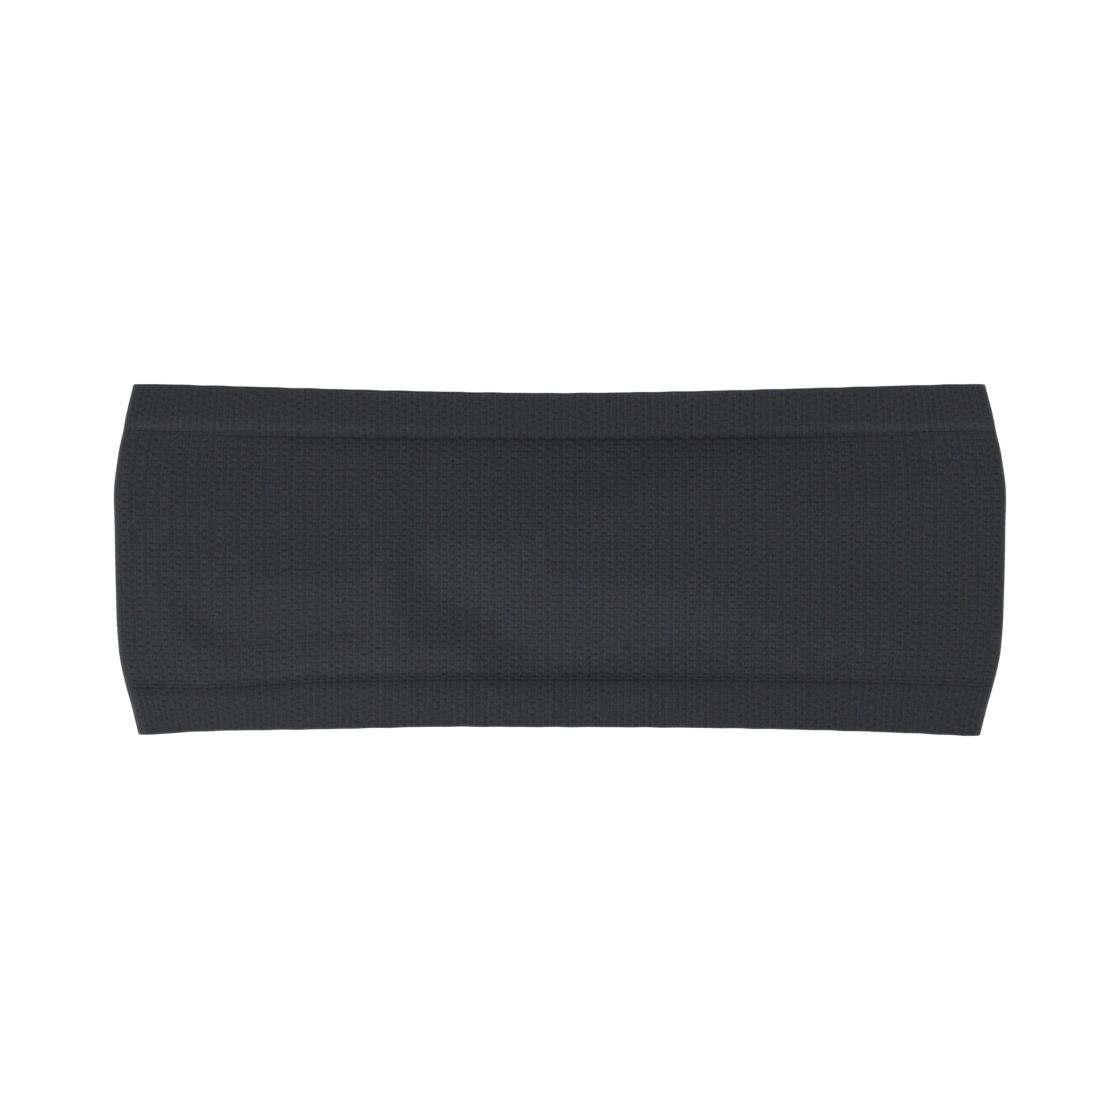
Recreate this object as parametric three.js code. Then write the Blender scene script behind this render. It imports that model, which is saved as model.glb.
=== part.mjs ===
// A wide sports headband: one seamless knitted tube with a turned, elastic welt at each edge, lying
// flat and standing slightly open.
// Millimetres, +Z up. X runs along the flat width and Y along the tube's axis, towards the edge that is
// worn uppermost. The origin is on the surface that the band lies on, under the band's middle.
import * as THREE from "three";

// Driving dimensions
const halfHeight = 46.3; // from the middle to a corner, along Y
const weltDepth = 12.6; // from an edge to its join course
const ply = 0.9; // one thickness of knit
const foldRadius = 4.8; // outside of a welt where it turns over at the sides
const weltCrown = 2.4; // how far a welt's front arches above its folds
const bodyCrown = 3.6; // the same for the body, at its middle
const edgeDip = 0.05; // how far the edges draw in at mid-width, as a share of their distance from the middle
const dipPower = 1.75; // how quickly the draw-in fades towards the folds
const archPower = 1.5; // the same for the front's arch
const settledSpan = 0.85; // share of the back that lies flat down

// Half widths of the folded outline, at distances along Y from the lower corners to the upper ones
const outlineHeights = [-halfHeight, -33, -22, -7, 8, 20, 33, halfHeight];
const outlineHalfWidths = [110.9, 114.6, 116.9, 117.5, 117.9, 117.7, 115.3, 112.5];
const widest = Math.max(...outlineHalfWidths);
const outline = new THREE.CubicInterpolant(outlineHeights, outlineHalfWidths, 1);

// How the plies are stacked: depths below a welt's outer surface
const gap = 0.3; // between pieces that are knitted together
const elasticThickness = 0.5;
const pocketDepth = elasticThickness + 2 * gap; // between a welt's two plies
const weltThickness = 2 * ply + pocketDepth;
const bodyInset = 0.4;
const joinInset = 0.6;
const joinThickness = 2;

// Where the pieces start and end along Y
const joinWidth = 1;
const joinMiddle = halfHeight - weltDepth;
const bodyEnd = joinMiddle - joinWidth / 2 - gap;
const weltStart = joinMiddle + joinWidth / 2 + gap;
const elasticTurns = 4;

// The tube as it comes off the knitting cylinder, and how it folds: straight runs of `halfRun` each side
// of the middle, front and back, and a half circle at each side
const halfRun = widest - foldRadius;
const tubeRadius = (4 * halfRun) / (2 * Math.PI) + foldRadius;
const runSteps = 12;
const foldSteps = 6;
const steps = 2 * (runSteps + foldSteps);
const foldShare = foldSteps / steps; // of the way round the tube

// The place of a point at a share of the way round, on a flattened tube of this fold radius.
function flatten(share, radius) {
  const side = share < 0.5 ? 1 : -1;
  const onward = share % 0.5;
  if (onward < foldShare) {
    const turn = (onward / foldShare - 0.5) * Math.PI;
    return [side * (halfRun + radius * Math.cos(turn)), foldRadius + side * radius * Math.sin(turn)];
  }
  const along = (onward - foldShare) / (0.5 - foldShare);
  return [side * halfRun * (1 - 2 * along), foldRadius + side * radius];
}

// Turns a profile of (depth, distance along Y) points into a round tube, then lays the tube flat. The
// back settles by `inset`, so that every piece's underside comes to rest on the same surface.
function layTube(profile, inset = 0) {
  const turned = profile.map((point) => new THREE.Vector2(tubeRadius - point.x, point.y));
  const geometry = new THREE.LatheGeometry(turned, steps);
  const position = geometry.getAttribute("position");
  for (let i = 0; i < position.count; i++) {
    const [roundX, y, roundZ] = [position.getX(i), position.getY(i), position.getZ(i)];
    const share = (1 - Math.atan2(roundX, roundZ) / (2 * Math.PI)) % 1;
    const [x, z] = flatten(share, foldRadius - (tubeRadius - Math.hypot(roundX, roundZ)));

    const across = THREE.MathUtils.clamp(x / halfRun, -1, 1);
    const laidX = x + across * (outline.evaluate(y)[0] - widest);
    const dip = edgeDip * Math.pow(1 - across * across, dipPower);
    const bodyShare = Math.max(0, 1 - (y / joinMiddle) ** 2);
    const crown = THREE.MathUtils.lerp(weltCrown, bodyCrown, bodyShare);
    const arch = crown * Math.pow(1 - across * across, archPower);
    const settled = inset * (1 - THREE.MathUtils.smoothstep(Math.abs(across), settledSpan, 1));
    position.setXYZ(i, laidX, y * (1 - dip), z + (z > foldRadius ? arch : -settled));
  }
  geometry.computeVertexNormals();
  return geometry;
}

// A closed, rectangular profile between two depths and two distances along Y.
function strip(depth, thickness, yLow, yHigh, pieces = 1) {
  const outer = [];
  const inner = [];
  for (let i = 0; i <= pieces; i++) {
    const y = THREE.MathUtils.lerp(yLow, yHigh, i / pieces);
    outer.push(new THREE.Vector2(depth, y));
    inner.unshift(new THREE.Vector2(depth + thickness, y));
  }
  return [...outer, ...inner, outer[0]];
}

// The same profile at the band's lower edge.
function mirrored(profile) {
  return profile.map((point) => new THREE.Vector2(point.x, -point.y)).reverse();
}

function atEdge(side, profile) {
  return side > 0 ? profile : mirrored(profile);
}

// The body: one ply all the way round, with no seam.
function bodyTube() {
  const bodyPieces = 8;
  return layTube(strip(bodyInset, ply, -bodyEnd, bodyEnd, bodyPieces), bodyInset);
}

// A welt: the knit turned over at the edge into two plies, with a pocket open towards the join.
function welt(side) {
  const turnMiddle = weltThickness / 2;
  const turnStart = halfHeight - turnMiddle;
  const turnPieces = 4;
  const straight = (depth, from, to) => {
    return [0, 0.5, 1].map((share) => new THREE.Vector2(depth, THREE.MathUtils.lerp(from, to, share)));
  };
  const turn = (radius, direction) => {
    const points = [];
    for (let i = 1; i < turnPieces; i++) {
      const angle = Math.PI * (i / turnPieces);
      const depth = turnMiddle - direction * radius * Math.cos(angle);
      points.push(new THREE.Vector2(depth, turnStart + radius * Math.sin(angle)));
    }
    return points;
  };
  const profile = [
    ...straight(0, weltStart, turnStart),
    ...turn(turnMiddle, 1),
    ...straight(weltThickness, turnStart, weltStart),
    ...straight(weltThickness - ply, weltStart, turnStart),
    ...turn(pocketDepth / 2, -1),
    ...straight(ply, turnStart, weltStart),
  ];
  return layTube(atEdge(side, [...profile, profile[0]]));
}

// The course of loops that closes a welt and links it to the body.
function joinCourse(side) {
  const near = joinMiddle - joinWidth / 2;
  return layTube(atEdge(side, strip(joinInset, joinThickness, near, near + joinWidth)));
}

// One turn of the covered elastic yarn that is laid in between a welt's plies.
function elasticTurn(side, turn) {
  const pocketEnd = halfHeight - weltThickness / 2;
  const middle = THREE.MathUtils.lerp(weltStart, pocketEnd, (turn + 0.5) / elasticTurns);
  const near = middle - elasticThickness / 2;
  return layTube(atEdge(side, strip(ply + gap, elasticThickness, near, near + elasticThickness)));
}

const bodyKnit = { color: 0x34353a, roughness: 0.85 };
const weltKnit = { color: 0x36373b, roughness: 0.85 };
const joinYarn = { color: 0x2a2b2f, roughness: 0.9 };
const elasticYarn = { color: 0x1d1d20, roughness: 0.6 };

function piece(name, geometry, look) {
  const mesh = new THREE.Mesh(geometry, new THREE.MeshStandardMaterial({ ...look, metalness: 0 }));
  mesh.name = name;
  return mesh;
}

const headband = new THREE.Group();
headband.add(piece("body_tube", bodyTube(), bodyKnit));
for (const [edge, side] of [["upper", 1], ["lower", -1]]) {
  headband.add(piece(`${edge}_welt`, welt(side), weltKnit));
  headband.add(piece(`${edge}_join_course`, joinCourse(side), joinYarn));
  for (let turn = 0; turn < elasticTurns; turn++) {
    const name = `${edge}_elastic_yarn_${turn + 1}`;
    headband.add(piece(name, elasticTurn(side, turn), elasticYarn));
  }
}

export default headband;
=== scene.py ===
import math

import bpy
import numpy as np
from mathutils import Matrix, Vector


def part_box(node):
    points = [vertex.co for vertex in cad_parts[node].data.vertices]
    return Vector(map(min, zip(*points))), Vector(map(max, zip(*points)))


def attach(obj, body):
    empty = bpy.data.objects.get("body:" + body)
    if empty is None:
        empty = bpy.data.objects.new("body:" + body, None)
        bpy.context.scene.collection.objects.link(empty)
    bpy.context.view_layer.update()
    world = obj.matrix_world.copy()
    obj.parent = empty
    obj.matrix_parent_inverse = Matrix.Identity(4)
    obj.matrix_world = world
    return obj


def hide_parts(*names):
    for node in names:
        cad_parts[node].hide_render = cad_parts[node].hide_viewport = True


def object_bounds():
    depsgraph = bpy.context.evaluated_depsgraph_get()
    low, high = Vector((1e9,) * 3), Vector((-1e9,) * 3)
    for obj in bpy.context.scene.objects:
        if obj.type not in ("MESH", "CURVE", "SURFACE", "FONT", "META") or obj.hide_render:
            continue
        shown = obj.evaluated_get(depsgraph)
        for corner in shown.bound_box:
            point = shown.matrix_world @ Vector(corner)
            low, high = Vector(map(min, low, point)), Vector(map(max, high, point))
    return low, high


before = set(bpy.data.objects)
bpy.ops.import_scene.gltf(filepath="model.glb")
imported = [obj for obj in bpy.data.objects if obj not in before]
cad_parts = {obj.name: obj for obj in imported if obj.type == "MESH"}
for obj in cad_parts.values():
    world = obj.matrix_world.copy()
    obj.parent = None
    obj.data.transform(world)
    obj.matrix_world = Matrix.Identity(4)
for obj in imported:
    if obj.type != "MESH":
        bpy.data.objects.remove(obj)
cad_low, cad_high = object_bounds()

# Lengths are in millimetres as far as the meshes' points, and in metres from there on
MM = 0.001


def node_box(name):
    low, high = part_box(name)
    return low / MM, high / MM


# ---------------------------------------------------------------- the band's main sizes, from the frame
HALF_WIDTH = (cad_high.x - cad_low.x) / MM / 2
HALF_HEIGHT = (cad_high.y - cad_low.y) / MM / 2
JOIN_WIDTH = 1  # of the frame's join courses
SEAM = node_box("upper_join_course")[1].y - JOIN_WIDTH / 2  # the middle of a join course, at the folds
FOLD = 4.8  # outside radius of a welt's fold
BODY_INSET = 0.4  # the body's surface lies this much lower than the welts'
WELT_ARCH = node_box("upper_welt")[1].z - 2 * FOLD
BODY_ARCH = node_box("body_tube")[1].z + BODY_INSET - 2 * FOLD

# ---------------------------------------------------------------- camera: straight down on the band
LENS = 100
SENSOR = 36
WIDTH_IN_PICTURE = 0.7948  # share of the picture's width that the band fills
NEAREST_FACE = 0.005

camera_data = bpy.data.cameras.new("camera")
camera_data.lens = LENS
camera_data.sensor_width = SENSOR
camera = bpy.data.objects.new("camera", camera_data)
bpy.context.collection.objects.link(camera)
picture_width = 2 * HALF_WIDTH * MM / WIDTH_IN_PICTURE
camera.location = (0, 0, picture_width * LENS / SENSOR + NEAREST_FACE)
bpy.context.scene.camera = camera

# ---------------------------------------------------------------- the knit
# Strength and reach of the painted highlights along both folds, the right fold and the upper edge
FOLD_HIGHLIGHT = (0.25, 0.6)
RIGHT_FOLD_HIGHLIGHT = (0.28, 2.5)
UPPER_EDGE_HIGHLIGHT = (1.5, 0.45)

COLUMNS = 270  # lattice columns round the tube, each of two wales
BODY_ROWS = 37
UPPER_WELT_ROWS = 6.5
LOWER_WELT_ROWS = 7
ROW_STEPS = 4  # mesh rows for each row of the knit
FRONT_STEPS = 3  # mesh columns for each lattice column
BACK_STEPS = 1.4
BODY_PLY = 0.85
WELT_THICKNESS = 2.6
WELT_PLY = 0.8
JOIN_HALF_WIDTH = 0.4
JOIN_BOTTOM = 2.2
CLEARANCE = 0.01
BODY_END = SEAM - JOIN_HALF_WIDTH - CLEARANCE
WELT_START = SEAM + JOIN_HALF_WIDTH + CLEARANCE
BEVEL = 0.015  # of the pieces' cut ends
BEVEL_EDGE = 0.01  # flat beside a bevel, so that its shading stays narrow
ROW_MARGIN = 0.3  # the body starts and stops between two rows
ELASTIC_TURNS = 4
ELASTIC_RADIUS = 0.25
ELASTIC_FROM_JOIN = 1.2
ELASTIC_FROM_EDGE = 2.0

# Silhouette: share of the half width at shares of the half height
OUTLINE_AT = (-1.0, -0.84, -0.71, -0.57, -0.43, -0.17, 0.17, 0.43, 0.55, 0.65, 0.73, 0.8, 1.0)
OUTLINE = (0.9445, 0.961, 0.976, 0.988, 0.9935, 0.9975, 1.0, 1.0005, 0.9945, 0.988, 0.9805, 0.9755, 0.956)
LEAN = 0.2  # how far the corners lie to the left of the middle
LEFT_PULL = 2.0  # how far the middle columns lie to the left
LOOP_PULL = 0.08  # how far every second loop pulls at the seams
LOOP_PULL_REACH = 0.9
UNEVEN = 0.028  # of the turned edges
UPPER_DRAW = 2.45  # how far each edge and seam draws in at mid-width
LOWER_DRAW = 2.45
UPPER_SEAM_DRAW = 1.5
LOWER_SEAM_DRAW = 1.7
UPPER_SEAM_SHIFT = 0.2  # how far each seam lies inwards of the frame's, all along
LOWER_SEAM_SHIFT = 0.95
# Places where the lower edge lies further in and the lower seam further out: how far, middle and reach
LOWER_EDGE_RISES = ((0.5, -95, 20), (0.2, -32, 16))
LOWER_SEAM_SAG = (1.2, -90, 20)
ARCH_POWER = 1.5  # how quickly the front's arch fades towards the folds

# Soft folds of the front: middle x and y, half length, half width, turn in degrees, height
FOLDS = (
    (20, 37, 66, 14, 4, -1.3),  # the body sinks towards the upper seam
    (38, 36, 24, 8, 0, -0.43),
    (4, 12, 36, 8, 14, 0.8),  # the crest below that
    (14, -3, 28, 9, 0, 0.54),
    (12, -27, 36, 12, 0, -0.54),  # and the hollow above the lower seam
    (10, -34, 40, 6, 0, 0.54),
    (-45, -3, 23, 6, 90, 1.2),  # an upright crease, left of the middle
    (-22, -13, 19, 9, -34, -1.51),  # the hollow that runs on from it, down to the right
    (30, -20, 30, 6, 0, -0.32),
    (78, 15, 24, 6, 14, 0.54),  # a slanting ridge near the right fold
    (84, -1, 18, 9, 0, -0.76),  # the hollow below it
    (84, -19, 24, 6, 0, 0.32),
    (-72, -6, 27, 8, 2, 0.54),  # ripples at the lower left
    (-62, -25, 32, 5, 4, 0.55),
    (-80, 30, 30, 8, 0, -0.4),
    (-98, -21, 13, 6, -45, 0.65),
    (41, -1, 7, 4, 60, 0.27),
)


def smooth(low, high, value):
    t = np.clip((value - low) / (high - low), 0, 1)
    return t * t * (3 - 2 * t)


def mix(low, high, share):
    return low + (high - low) * share


def spline(at, xs, ys):
    """A smooth curve through the points, with the slopes of its neighbours."""
    xs, ys = np.array(xs), np.array(ys)
    slopes = np.gradient(ys, xs)
    i = np.clip(np.searchsorted(xs, at) - 1, 0, len(xs) - 2)
    step = xs[i + 1] - xs[i]
    t = np.clip((at - xs[i]) / step, 0, 1)
    h00, h10 = 2 * t**3 - 3 * t**2 + 1, t**3 - 2 * t**2 + t
    h01, h11 = -2 * t**3 + 3 * t**2, t**3 - t**2
    return h00 * ys[i] + h10 * step * slopes[i] + h01 * ys[i + 1] + h11 * step * slopes[i + 1]


def half_width(y):
    return HALF_WIDTH * spline(y / HALF_HEIGHT, OUTLINE_AT, OUTLINE)


def bump_at(value, middle, reach):
    """1 at the middle, fading smoothly to 0 round it."""
    return np.exp(-(((value - middle) / reach) ** 2))


# The edges and seams aren't straight: each draws in at mid-width. `a` is the distance from mid-width,
# 1 at the folds.
def unevenness(x):
    return UNEVEN * (np.sin(x / 1.27) + np.sin(x / 1.9 + 1.0))


def upper_edge(a, x):
    return HALF_HEIGHT - UPPER_DRAW * (1 - a**1.6) ** 1.25 - unevenness(x)


def upper_seam(a):
    return SEAM - UPPER_SEAM_SHIFT - UPPER_SEAM_DRAW * (1 - a * a) ** 1.3


def lower_seam(a, x):
    sag, middle, reach = LOWER_SEAM_SAG
    drawn = LOWER_SEAM_DRAW * (1 - a * a) ** 0.8
    return -SEAM + LOWER_SEAM_SHIFT + drawn - sag * bump_at(x, middle, reach)


def lower_edge(a, x):
    drawn = LOWER_DRAW * (1 - a**2.2) ** 0.9
    for rise, middle, reach in LOWER_EDGE_RISES:
        drawn = drawn + rise * bump_at(x, middle, reach)
    return -HALF_HEIGHT + drawn + unevenness(x + 3)


def laid_y(y, a, x):
    """Where a distance along the straight tube comes to lie."""
    up, down = upper_seam(a), lower_seam(a, x)
    middle = mix(down, up, (y + SEAM) / (2 * SEAM))
    above = mix(up, upper_edge(a, x), (y - SEAM) / (HALF_HEIGHT - SEAM))
    below = mix(down, lower_edge(a, x), (-y - SEAM) / (HALF_HEIGHT - SEAM))
    return np.where(y > SEAM, above, np.where(y < -SEAM, below, middle))


# A fold's cross-section is squarer than a half circle. A quarter of it: distances along, out and up.
FOLD_POWER = 0.72
quarter_turn = np.linspace(0, math.pi / 2, 200)
QUARTER_OUT = np.cos(quarter_turn) ** FOLD_POWER
QUARTER_UP = np.sin(quarter_turn) ** FOLD_POWER
QUARTER_ALONG = np.cumsum(np.hypot(np.diff(QUARTER_OUT, prepend=1), np.diff(QUARTER_UP, prepend=0)))


def folds(x, y):
    total = np.zeros_like(x)
    for middle_x, middle_y, length, width, turn, height in FOLDS:
        t = math.radians(turn)
        along = (x - middle_x) * math.cos(t) + (y - middle_y) * math.sin(t)
        off = -(x - middle_x) * math.sin(t) + (y - middle_y) * math.cos(t)
        total += height * np.exp(-((along / length) ** 2) - (off / width) ** 2)
    return total


def from_middle(column):
    """How far a column lies from the middle of the front or back, 1 at the folds."""
    half = COLUMNS / 2
    return np.abs(2 * np.where(column < half, column, COLUMNS - column) / half - 1)


def on_front(column):
    """1 over the front, where the mesh is fine enough for single loops, and 0 over the back."""
    return np.where(column < COLUMNS / 2, smooth(1.0, 0.95, from_middle(column)), 0)


def lay(column, y, depth, inset=0.0):
    """Points of the laid band: column round the tube from the left fold over the front, distance y
    along the tube and depth below the welts' surface, all as arrays of one shape."""
    front = column < COLUMNS / 2
    u = np.where(front, column, COLUMNS - column) / (COLUMNS / 2)
    run = half_width(y) + inset - FOLD
    quarter = FOLD * QUARTER_ALONG[-1]
    share = quarter / (2 * run + 2 * quarter)
    radius = FOLD - depth
    from_fold = np.minimum(u, 1 - u)
    in_fold = from_fold < share
    along = np.clip(from_fold / share, 0, 1) * QUARTER_ALONG[-1]
    out = np.interp(along, QUARTER_ALONG, QUARTER_OUT)
    up = np.interp(along, QUARTER_ALONG, QUARTER_UP)
    x_fold = np.where(u < 0.5, -1.0, 1.0) * (run + radius * out)
    across = 2 * (u - share) / (1 - 2 * share) - 1
    x_run = mix(across * (HALF_WIDTH - FOLD), across * run, across**4)
    x = np.where(in_fold, x_fold, x_run)
    rise = np.where(in_fold, radius * up, radius)
    a = np.clip(np.abs(x) / run, 0, 1)
    middle = np.clip(1 - (y / SEAM) ** 2, 0, 1)
    arch = mix(WELT_ARCH, BODY_ARCH, middle) * (1 - a * a) ** ARCH_POWER

    # The columns lie closer together at the left, and every second loop pulls at the seams
    x = x - np.where(front, LEFT_PULL * (1 - a * a), 0)
    near_seam = bump_at(np.abs(y), SEAM, LOOP_PULL_REACH)
    pull = np.cos(math.pi * column) * near_seam * on_front(column)
    flat_y = laid_y(y, a, x) + LOOP_PULL * pull
    z_front = FOLD + rise + arch + folds(x, flat_y) * smooth(1.0, 0.9, a)
    z_back = FOLD - rise - inset * smooth(1.0, 0.85, a)
    x = x - LEAN * (y / HALF_HEIGHT) ** 2
    return np.stack([x, flat_y, np.where(front, z_front, z_back)], -1)


def columns():
    """Mesh columns round the tube: closer together over the front."""
    half = COLUMNS // 2
    front = np.arange(half * FRONT_STEPS) / FRONT_STEPS
    back_count = round(half * BACK_STEPS)
    back = half + half * np.arange(back_count) / back_count
    return np.concatenate([front, back])


# A painted highlight, fading in from a fold or edge
def painted_highlight(distance, kind):
    strength, reach = kind
    return strength * np.exp(-distance / reach)


def knit_mesh(name, profile, depth_of, painted_light_of, inset=0.0):
    """A closed piece: a profile loop of (distance along the tube, depth, row) carried round the tube.
    depth_of(column, row, y, depth) moves its points in and out, and painted_light_of(column, y) gives the
    painted light and shade in the yarn's colour there."""
    cols = columns()
    n, k = len(cols), len(profile)
    y, depth, row = (np.tile([point[part] for point in profile], (n, 1)) for part in range(3))
    column = np.tile(cols[:, None], (1, k))
    depth = depth_of(column, row, y, depth)
    points = lay(column, y, depth, inset)
    i, j = np.meshgrid(np.arange(n), np.arange(k), indexing="ij")
    i2, j2 = (i + 1) % n, (j + 1) % k
    quads = np.stack([i * k + j, i2 * k + j, i2 * k + j2, i * k + j2], -1).reshape(-1, 4)

    mesh = bpy.data.meshes.new(name)
    mesh.vertices.add(n * k)
    mesh.vertices.foreach_set("co", (points * MM).reshape(-1).astype(np.float32))
    mesh.loops.add(len(quads) * 4)
    mesh.loops.foreach_set("vertex_index", quads.reshape(-1).astype(np.int32))
    mesh.polygons.add(len(quads))
    mesh.polygons.foreach_set("loop_start", np.arange(0, len(quads) * 4, 4, dtype=np.int32))
    mesh.update(calc_edges=True)
    mesh.polygons.foreach_set("use_smooth", np.ones(len(quads), bool))

    # The knit's own coordinates: u counts columns and v counts rows
    uv = mesh.uv_layers.new(name="knit")
    next_column = np.where(i2 == 0, COLUMNS, column[i2, j])
    us = np.stack([column, next_column, next_column, column], -1)
    next_row = row[:, (np.arange(k) + 1) % k]
    vs = np.stack([row, row, next_row, next_row], -1)
    uv.data.foreach_set("uv", np.stack([us, vs], -1).reshape(-1).astype(np.float32))

    # Painted light and shade in the yarn's colour: the piece's own painted shade and highlights, with
    # painted highlights along the folds and the upper edge
    side = np.abs(np.abs(points[..., 0]) - half_width(y))
    edge = np.clip(HALF_HEIGHT - np.abs(y), 0, None)
    painted_highlights = painted_highlight(side, FOLD_HIGHLIGHT) + painted_highlight(edge, UPPER_EDGE_HIGHLIGHT) * (y > 0)
    painted_highlights = painted_highlights + painted_highlight(side, RIGHT_FOLD_HIGHLIGHT) * (points[..., 0] > 0)
    painted_light = painted_light_of(column, y) * (1 + painted_highlights)
    # Painted light and shade, kept on the points for the material
    layer = mesh.attributes.new("painted_light_and_shade", "FLOAT", "POINT")
    layer.data.foreach_set("value", painted_light.reshape(-1).astype(np.float32))
    mesh.validate()
    obj = bpy.data.objects.new(name, mesh)
    bpy.context.collection.objects.link(obj)
    return obj


def lattice(column, row, wide, tall, odd=False):
    """1 at the middle of each hole of every second column, fading to 0 round it."""
    shift = 1.0 if odd else 0.0
    across = np.abs((column + shift) / 2 - np.round((column + shift) / 2)) * 2
    down = np.abs(row + shift / 2 - np.round(row + shift / 2))
    return np.exp(-((across / wide) ** 2) - (down / tall) ** 2)


def seam_open(column):
    """A seam's groove is open over the middle and pulled shut towards the folds."""
    return 1 - 0.8 * smooth(0.5, 0.86, from_middle(column))


def to_the_right(column):
    """1 towards the front's right fold, and 0 over the left half."""
    return smooth(0.25, 0.45, column / COLUMNS) * (column < COLUMNS / 2)


def off_fold(column):
    return smooth(0.99, 0.93, from_middle(column))


def lip(distance, reach):
    """1 at a piece's end, curving away to 0 at `reach` in from it."""
    return np.clip(1 - distance / reach, 0, 1) ** 2


def mirrored(profile):
    return [(-y, depth, -row) for y, depth, row in reversed(profile)]


# ---------------------------------------------------------------- body
WIDE_HOLE_DEPTH = 0.15
SMALL_HOLE_DEPTH = 0.12
LOOP_HEIGHT = 0.07
LOWER_DIP_AT = 2.6  # where the body is deepest beside the lower seam


def body_piece():
    count = BODY_ROWS * ROW_STEPS
    inner_count = 12
    last_row = BODY_ROWS - ROW_MARGIN
    flat_end = BODY_END - BEVEL
    row_end = flat_end - BEVEL_EDGE
    profile = [(-BODY_END, BODY_INSET + BEVEL, ROW_MARGIN), (-flat_end, BODY_INSET, ROW_MARGIN)]
    for s in range(count + 1):
        share = s / count
        profile.append((mix(-row_end, row_end, share), BODY_INSET, mix(ROW_MARGIN, last_row, share)))
    profile += [(flat_end, BODY_INSET, last_row), (BODY_END, BODY_INSET + BEVEL, last_row)]
    for s in range(inner_count + 1):
        share = s / inner_count
        profile.append((mix(BODY_END, -BODY_END, share), BODY_INSET + BODY_PLY, BODY_ROWS * (1 - share)))

    def depth_of(column, row, y, depth):
        end = BODY_END - np.abs(y)
        opened = seam_open(column) * off_fold(column)
        wide_holes = WIDE_HOLE_DEPTH * lattice(column + 0.08, row, 0.4, 0.22)
        small_holes = SMALL_HOLE_DEPTH * lattice(column, row, 0.3, 0.28, odd=True)
        loops = LOOP_HEIGHT * lattice(column, row + 0.5, 0.2, 0.24)
        knit = (wide_holes + small_holes - loops) * on_front(column) * smooth(0.2, 1.0, end)
        upper_seam_dip = 0.36 * lip(end, 5)
        from_end = end / LOWER_DIP_AT
        lower_seam_dip = 0.05 + 0.2 * from_end * np.exp(1 - from_end)
        seam = np.where(y > 0, upper_seam_dip, lower_seam_dip)
        outer = depth < BODY_INSET + BODY_PLY / 2
        return depth + np.where(outer, knit + seam * opened, 0)

    # Painted shade beside both seams, where the body dips into the grooves; more of it at the left of the
    # upper seam
    def painted_light_of(column, y):
        end = BODY_END - np.abs(y)
        opened = seam_open(column)
        left = smooth(0.23, 0.15, column / COLUMNS)
        upper = (0.08 * opened + 0.09 * left) * smooth(1.6, 0.2, end)
        lower = 0.06 * opened * smooth(2.0, 0.2, end)
        return 1 - np.where(y > 0, upper, lower) * off_fold(column)

    return knit_mesh("body_knit", profile, depth_of, painted_light_of, inset=BODY_INSET)


# ---------------------------------------------------------------- welts
def welt_profile(rows):
    turn_depth = 1.2
    pocket_radius = 0.5
    pocket_steps = 6
    turn_start = HALF_HEIGHT - turn_depth
    middle = WELT_THICKNESS / 2
    pocket = WELT_THICKNESS - 2 * WELT_PLY
    count = round(rows * ROW_STEPS)
    turn_rows = 1.6
    inner_start = rows + turn_rows
    flat_start = WELT_START + BEVEL
    row_start = flat_start + BEVEL_EDGE
    profile = [(WELT_START, BEVEL, 0.0), (flat_start, 0.0, 0.0)]
    for s in range(count):
        profile.append((mix(row_start, turn_start, s / count), 0.0, s / ROW_STEPS))
    turn_count = 12
    for s in range(turn_count + 1):
        angle = math.pi * s / turn_count
        c, q = math.cos(angle), math.sin(angle)
        depth = middle - middle * math.copysign(abs(c) ** 0.5, c)
        profile.append((turn_start + turn_depth * q**0.45, depth, rows + turn_rows * s / turn_count))
    inner_count = 10
    for s in range(1, inner_count + 1):
        share = s / inner_count
        y = mix(turn_start, WELT_START, share)
        profile.append((y, WELT_THICKNESS, inner_start + rows * share))
    pocket_count = 5
    for s in range(pocket_count):
        share = s / pocket_count
        y = mix(WELT_START, turn_start, share)
        profile.append((y, WELT_THICKNESS - WELT_PLY, inner_start + rows * (1 - share)))
    for s in range(pocket_steps + 1):
        angle = math.pi * s / pocket_steps
        y = turn_start + pocket_radius * math.sin(angle)
        profile.append((y, middle + pocket / 2 * math.cos(angle), rows))
    for s in range(1, pocket_count + 1):
        share = s / pocket_count
        profile.append((mix(turn_start, WELT_START, share), WELT_PLY, rows * (1 - share)))
    return profile


def welt_piece(name, side):
    rows = UPPER_WELT_ROWS if side > 0 else LOWER_WELT_ROWS
    profile = welt_profile(rows) if side > 0 else mirrored(welt_profile(rows))

    def depth_of(column, row, y, depth):
        end = np.abs(y) - WELT_START
        opened = seam_open(column)
        holes = lattice(column, row, 0.24, 0.3) + lattice(column, row, 0.24, 0.3, odd=True)
        hole_depth = 0.15 if side > 0 else 0.11
        knit = hole_depth * holes * on_front(column) * smooth(0.2, 1.0, end)
        if side > 0:
            seam = mix(0.62, 0.26, opened) * bump_at(end, 0, 1.6)
        else:
            seam = 0.3 * lip(end, 2.4)
        outer = (depth < WELT_PLY / 2) & (np.abs(row) < rows)
        # Folded flat, the corners are sharp
        turned = (np.abs(row) > rows) & (depth < WELT_THICKNESS / 2)
        depth = np.where(turned, depth * mix(0.3, 1, off_fold(column)), depth)
        return depth + np.where(outer, knit + seam * off_fold(column), 0)

    def painted_light_of(column, y):
        end = np.abs(y) - WELT_START
        # Painted shade beside the seam, and a painted highlight on the upper welt's ridge towards the
        # right
        painted_seam_shade = np.where(y > 0, 0.1 * smooth(0.6, 0.1, end), 0.04 * smooth(1.3, 0.1, end))
        painted_ridge_highlight = (0.04 + 0.12 * bump_at(end, 1.6, 1.2)) * to_the_right(column)
        painted_light = 1 - painted_seam_shade * seam_open(column) * off_fold(column)
        return painted_light + np.where(y > 0, painted_ridge_highlight, 0)

    return knit_mesh(name, profile, depth_of, painted_light_of)


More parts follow.
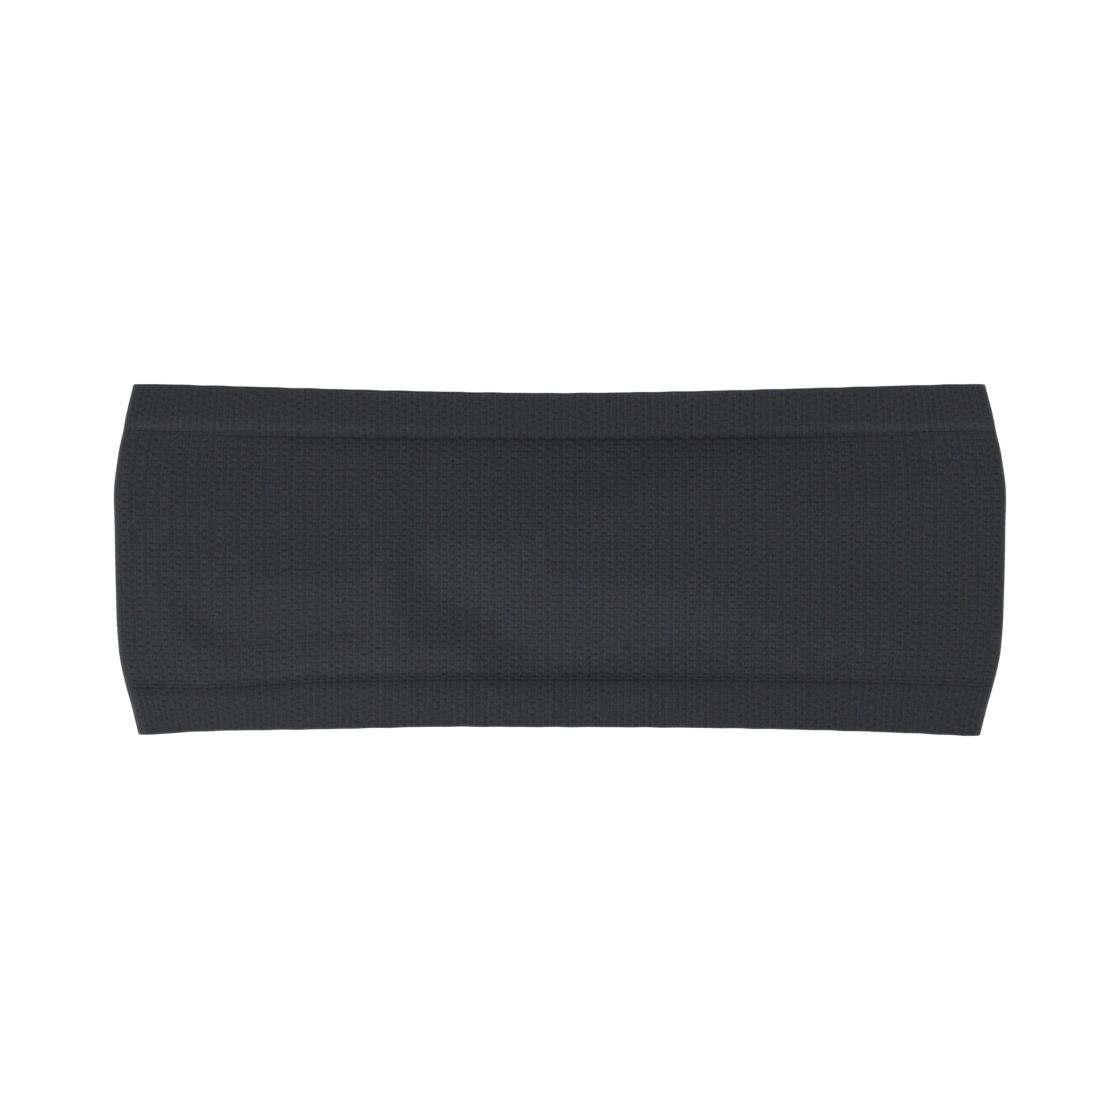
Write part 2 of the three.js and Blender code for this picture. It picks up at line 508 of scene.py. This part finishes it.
# ---------------------------------------------------------------- join courses
def join_piece(name, side):
    near, far = SEAM - JOIN_HALF_WIDTH, SEAM + JOIN_HALF_WIDTH
    top_count = 4
    hollow = 0.04
    middle_depth, end_depth, tilt = (0.52, 0.46, 0.0) if side > 0 else (0.34, 0.36, 0.14)
    edge = BEVEL_EDGE / (far - near)
    profile = []
    for share in sorted([edge, 1 - edge] + [s / top_count for s in range(top_count + 1)]):
        depth = hollow * math.sin(math.pi * share) + tilt * (0.5 - share)
        profile.append((mix(near, far, share), depth, share))
    profile += [(far, JOIN_BOTTOM, 2.0), (near, JOIN_BOTTOM, 3.0)]
    if side < 0:
        profile = mirrored(profile)

    def depth_of(column, row, y, depth):
        opened = seam_open(column)
        front_depth = mix(end_depth, middle_depth, opened)
        surface = np.where(column < COLUMNS / 2, front_depth, BODY_INSET + 0.1)
        top = mix(BODY_INSET, surface, off_fold(column))
        loops = 0.08 * np.cos(math.pi * column) * on_front(column) * opened
        # Towards the folds the strip lies level
        level = mix(0.2, 1, smooth(0.2, 0.7, opened))
        return np.where(depth < JOIN_BOTTOM / 2, depth * level + top + loops, depth)

    def painted_light_of(column, y):
        # Painted shade of the seam's groove, darker at every second loop
        painted_groove_shade = 0.06 + 0.12 * np.cos(math.pi * column) * on_front(column)
        return 1 - painted_groove_shade * seam_open(column) * off_fold(column)

    return knit_mesh(name, profile, depth_of, painted_light_of, inset=BODY_INSET)


# ---------------------------------------------------------------- elastic yarns, inside the welts
def elastic_piece(name, side, turn):
    first, last = WELT_START + ELASTIC_FROM_JOIN, HALF_HEIGHT - ELASTIC_FROM_EDGE
    y = mix(first, last, turn / (ELASTIC_TURNS - 1))
    sides = 8
    cover_height = 0.03
    cover_turn = 3  # columns to a turn of the cover
    profile = []
    for s in range(sides):
        angle = 2 * math.pi * s / sides
        depth = WELT_THICKNESS / 2 - ELASTIC_RADIUS * math.sin(angle)
        profile.append((y - ELASTIC_RADIUS * math.cos(angle), depth, s))
    if side < 0:
        profile = mirrored(profile)

    def depth_of(column, row, y, depth):
        cover = cover_height * np.cos(2 * math.pi * (column / cover_turn - row / sides))
        return depth + cover * np.sign(depth - WELT_THICKNESS / 2)

    return knit_mesh(name, profile, depth_of, lambda column, y: np.ones_like(column))


# ---------------------------------------------------------------- materials
def principled(name, roughness):
    material = bpy.data.materials.new(name)
    material.use_nodes = True
    tree = material.node_tree
    shader = tree.nodes["Principled BSDF"]
    shader.inputs["Roughness"].default_value = roughness
    return material, tree, shader


class Graph:
    """Short calls for a material's nodes."""

    def __init__(self, tree):
        self.tree = tree

    def node(self, kind, **values):
        node = self.tree.nodes.new(kind)
        for key, value in values.items():
            setattr(node, key, value)
        return node

    def link(self, source, socket):
        if isinstance(source, (int, float, tuple)):
            socket.default_value = source
        else:
            self.tree.links.new(source, socket)

    def math(self, operation, *inputs):
        node = self.node("ShaderNodeMath", operation=operation)
        for i, value in enumerate(inputs):
            self.link(value, node.inputs[i])
        return node.outputs[0]

    def vector(self, operation, *inputs):
        node = self.node("ShaderNodeVectorMath", operation=operation)
        for i, value in enumerate(inputs):
            self.link(value, node.inputs[i])
        return node.outputs[0]

    def scaled(self, vector, scale):
        node = self.node("ShaderNodeVectorMath", operation="SCALE")
        self.link(vector, node.inputs[0])
        self.link(scale, node.inputs["Scale"])
        return node.outputs[0]

    def smooth(self, value, low, high, to_low, to_high):
        node = self.node("ShaderNodeMapRange", interpolation_type="SMOOTHSTEP")
        for socket, v in zip(node.inputs, (value, low, high, to_low, to_high)):
            self.link(v, socket)
        return node.outputs[0]

    def noise(self, vector, scale, detail):
        node = self.node("ShaderNodeTexNoise")
        self.link(vector, node.inputs["Vector"])
        node.inputs["Scale"].default_value = scale
        node.inputs["Detail"].default_value = detail
        return node.outputs["Fac"], node.outputs["Color"]


def spots(g, u, v, at, wide, tall, lean):
    """1 at the middle of each spot of a lattice, two columns apart and one row, and 0 outside it."""
    a = g.math("FRACT", g.math("ADD", g.math("MULTIPLY", u, 0.5), 0.5 - at[0] / 2))
    b = g.math("FRACT", g.math("ADD", v, 0.5 - at[1]))
    across = g.math("MULTIPLY", g.math("SUBTRACT", a, 0.5), 2.0)
    up = g.math("SUBTRACT", b, 0.5)
    if lean:
        across = g.math("SUBTRACT", across, g.math("MULTIPLY", up, lean))
    across_part = g.math("POWER", g.math("DIVIDE", across, wide), 2)
    up_part = g.math("POWER", g.math("DIVIDE", up, tall), 2)
    distance = g.math("SQRT", g.math("ADD", across_part, up_part))
    return g.smooth(distance, 0.3, 1.3, 1.0, 0.0)


# Spots of the knit's cell: column and row of the middle, half width, half height, lean, strength.
# Below 0 it is a hole between loops, painted darker for the shade inside it; above 0 a loop that stands
# proud, painted lighter for the light it catches.
BODY_CELL = (
    (-0.14, 0.0, 0.4, 0.18, -0.15, -0.3),
    (1.02, 0.5, 0.22, 0.27, 0.5, -0.27),
    (-0.14, 0.52, 0.22, 0.3, 0.0, 0.35),
    (0.42, 0.3, 0.16, 0.28, 0.0, 0.21),
    (1.45, -0.38, 0.14, 0.28, 0.0, 0.26),
    (0.9, -0.12, 0.14, 0.2, 0.0, 0.11),
)
HEM_CELL = (
    (-0.05, 0.0, 0.22, 0.3, 0.2, -0.31),
    (0.95, 0.5, 0.22, 0.28, 0.4, -0.29),
    (0.36, 0.25, 0.12, 0.36, 0.0, 0.17),
    (1.4, -0.25, 0.12, 0.36, 0.0, 0.2),
    (0.75, -0.1, 0.12, 0.26, 0.0, 0.14),
    (-0.2, 0.5, 0.12, 0.28, 0.0, 0.15),
)

# The yarn's regular shading: a bright leg to the right of every column of holes, two wales to a column,
# and courses between the rows of holes, which are half a row apart.
LEG_PLACE = 0.31  # in columns
WALE_PLACE = 0.35
WALE_SHADE = 0.05
BODY_LEG_SHADE = 0.12
HEM_LEG_SHADE = 0.09
COURSE_SHADE = 0.05

KNIT_ROUGHNESS = 0.82
ELASTIC_ROUGHNESS = 0.6
WANDER = (0.22, 0.2, 0.0)  # of the lattice, in columns and rows
# How fine each noise is, per metre
WANDER_SCALE = 300.0
STRENGTH_SCALE = 560.0
FIBRE_SCALE = 2100.0
DYE_SCALE = 1000.0
KNIT_BUMP = 0.00012  # height of the finest relief, in metres
COVER_BUMP = 0.00004


def knit_material(name, cell, leg_shade, colour):
    material, tree, shader = principled(name, KNIT_ROUGHNESS)
    shader.inputs["Specular IOR Level"].default_value = 0.3
    shader.inputs["Sheen Weight"].default_value = 0.06
    shader.inputs["Sheen Roughness"].default_value = 0.45
    g = Graph(tree)
    place = g.node("ShaderNodeTexCoord").outputs["Object"]
    knit = g.node("ShaderNodeUVMap", uv_map="knit").outputs[0]

    # No two loops are alike: the lattice wanders and its spots differ in strength
    wander = g.noise(place, WANDER_SCALE, 1.0)[1]
    moved = g.node("ShaderNodeSeparateXYZ")
    g.link(g.vector("MULTIPLY_ADD", wander, WANDER, knit), moved.inputs[0])
    u, v = moved.outputs[0], moved.outputs[1]
    total = None
    for at_u, at_v, wide, tall, lean, strength in cell:
        spot = g.math("MULTIPLY", spots(g, u, v, (at_u, at_v), wide, tall, lean), strength)
        total = spot if total is None else g.math("ADD", total, spot)
    strength = g.smooth(g.noise(place, STRENGTH_SCALE, 1.0)[0], 0.3, 0.7, 0.6, 1.4)
    total = g.math("MULTIPLY", total, strength)

    from_leg = g.math("SUBTRACT", g.math("FRACT", g.math("ADD", u, 0.5 - LEG_PLACE)), 0.5)
    legs = g.smooth(g.math("ABSOLUTE", from_leg), 0.02, 0.2, leg_shade, -0.02)
    wales = g.math("COSINE", g.math("MULTIPLY", g.math("SUBTRACT", u, WALE_PLACE), 4 * math.pi))
    courses = g.math("COSINE", g.math("MULTIPLY", v, 4 * math.pi))
    pattern = g.math("MULTIPLY_ADD", wales, WALE_SHADE, g.math("ADD", total, legs))
    pattern = g.math("MULTIPLY_ADD", courses, -COURSE_SHADE, pattern)

    # Fibres, light and dark, and yarns that take the dye a little differently
    fibre = g.noise(place, FIBRE_SCALE, 2.0)[0]
    fibre_shade = g.smooth(fibre, 0.25, 0.75, 0.78, 1.22)
    # Painted light and shade from each piece's points darkens and lightens the colour
    painted_light_and_shade = g.node("ShaderNodeAttribute", attribute_name="painted_light_and_shade").outputs["Fac"]
    # The holes close up a little towards the folds
    off_middle = g.math("ABSOLUTE", g.math("MULTIPLY_ADD", u, 4 / COLUMNS, -1.0))
    pattern = g.math("MULTIPLY", pattern, g.smooth(off_middle, 0.2, 0.9, 0.88, 0.76))
    shade = g.math("MAXIMUM", g.math("ADD", pattern, 1.0), 0.2)
    shade = g.math("MULTIPLY", g.math("MULTIPLY", shade, fibre_shade), painted_light_and_shade)
    dye = g.noise(place, DYE_SCALE, 1.0)[1]
    strong = tuple(0.7 * c for c in colour)
    weak = tuple(0.65 * c for c in colour)
    tint = g.vector("MULTIPLY_ADD", dye, strong, weak)
    g.link(g.scaled(tint, shade), shader.inputs["Base Color"])

    height = g.math("MULTIPLY_ADD", fibre, 0.4, pattern)
    bump = g.node("ShaderNodeBump")
    bump.inputs["Strength"].default_value = 0.5
    bump.inputs["Distance"].default_value = KNIT_BUMP
    g.link(height, bump.inputs["Height"])
    g.link(bump.outputs[0], shader.inputs["Normal"])
    return material


def elastic_material():
    """Rubber, wound round with a fine dark yarn."""
    material, tree, shader = principled("elastic_look", ELASTIC_ROUGHNESS)
    g = Graph(tree)
    knit = g.node("ShaderNodeUVMap", uv_map="knit").outputs[0]
    parts = g.node("ShaderNodeSeparateXYZ")
    g.link(knit, parts.inputs[0])
    turns = g.math("MULTIPLY_ADD", parts.outputs[0], 8.0, g.math("MULTIPLY", parts.outputs[1], -0.8))
    wound = g.math("SINE", turns)
    shade = g.smooth(wound, -1.0, 1.0, 0.5, 1.2)
    g.link(g.scaled((0.02, 0.02, 0.024), shade), shader.inputs["Base Color"])
    bump = g.node("ShaderNodeBump")
    bump.inputs["Strength"].default_value = 0.4
    bump.inputs["Distance"].default_value = COVER_BUMP
    g.link(wound, bump.inputs["Height"])
    g.link(bump.outputs[0], shader.inputs["Normal"])
    return material


CHARCOAL = (0.0340, 0.0351, 0.0433)
body_look = knit_material("body_knit_look", BODY_CELL, BODY_LEG_SHADE, CHARCOAL)
welt_look = knit_material("welt_knit_look", HEM_CELL, HEM_LEG_SHADE, CHARCOAL)
join_look = knit_material("join_look", HEM_CELL, HEM_LEG_SHADE, CHARCOAL)
elastic_look = elastic_material()


# ---------------------------------------------------------------- pieces
def place(piece, look, node, slot):
    piece.data.materials.append(look)
    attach(piece, "root")
    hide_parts(node)


body = body_piece()
place(body, body_look, "body_tube", "body_knit")

for edge, side in (("upper", 1), ("lower", -1)):
    welt = welt_piece(f"{edge}_welt_knit", side)
    place(welt, welt_look, f"{edge}_welt", "welt_knit")
    place(join_piece(f"{edge}_join_loops", side), join_look, f"{edge}_join_course", "join_yarn")
    for turn in range(ELASTIC_TURNS):
        yarn = elastic_piece(f"{edge}_elastic_turn_{turn + 1}", side, turn)
        place(yarn, elastic_look, f"{edge}_elastic_yarn_{turn + 1}", "elastic_yarn")


# ---------------------------------------------------------------- floor and lights, in metres
FLOOR_HALF = 1.5
FLOOR_GAP = 0.0002  # below the band, so that the two don't coincide
# Place, size and power of each light: the key stands in front and to the left, the rim opposite
KEY_LIGHT = ((-0.50, -1.0, 0.54), (0.6, 0.4), 13.2)
RIM_LIGHT = ((0.9, 0.65, 0.3), (0.8, 0.3), 2.2)
# Strength of the tent's light at the horizon and overhead, and how high up it stops changing
TENT_LOW = 0.55
TENT_HIGH = 0.3
TENT_CHANGES_TO = 0.6


def floor_piece():
    size = FLOOR_HALF
    mesh = bpy.data.meshes.new("floor")
    corners = [(-size, -size, 0), (size, -size, 0), (size, size, 0), (-size, size, 0)]
    mesh.from_pydata(corners, [], [(0, 1, 2, 3)])
    obj = bpy.data.objects.new("floor", mesh)
    bpy.context.collection.objects.link(obj)
    obj.location.z = -FLOOR_GAP
    material, _, shader = principled("floor_white", 0.9)
    shader.inputs["Base Color"].default_value = (0.1, 0.1, 0.1, 1)
    shader.inputs["Emission Color"].default_value = (1, 1, 1, 1)
    shader.inputs["Emission Strength"].default_value = 1.0
    mesh.materials.append(material)


def area_light(name, location, size, power):
    data = bpy.data.lights.new(name, "AREA")
    data.shape = "RECTANGLE"
    data.size, data.size_y = size
    data.energy = power
    obj = bpy.data.objects.new(name, data)
    bpy.context.collection.objects.link(obj)
    obj.location = location
    obj.rotation_euler = (-Vector(location)).to_track_quat("-Z", "Y").to_euler()


def studio():
    """A white tent, brighter near the horizon than overhead."""
    world = bpy.data.worlds.new("studio")
    world.use_nodes = True
    g = Graph(world.node_tree)
    background = world.node_tree.nodes["Background"]
    direction = g.node("ShaderNodeSeparateXYZ")
    g.link(g.node("ShaderNodeTexCoord").outputs["Generated"], direction.inputs[0])
    background.inputs["Color"].default_value = (1, 1, 1, 1)
    strength = g.smooth(direction.outputs[2], 0.0, TENT_CHANGES_TO, TENT_LOW, TENT_HIGH)
    g.link(strength, background.inputs["Strength"])
    bpy.context.scene.world = world


floor_piece()
area_light("key", *KEY_LIGHT)
area_light("rim", *RIM_LIGHT)
studio()
bpy.context.scene.view_settings.view_transform = "Standard"
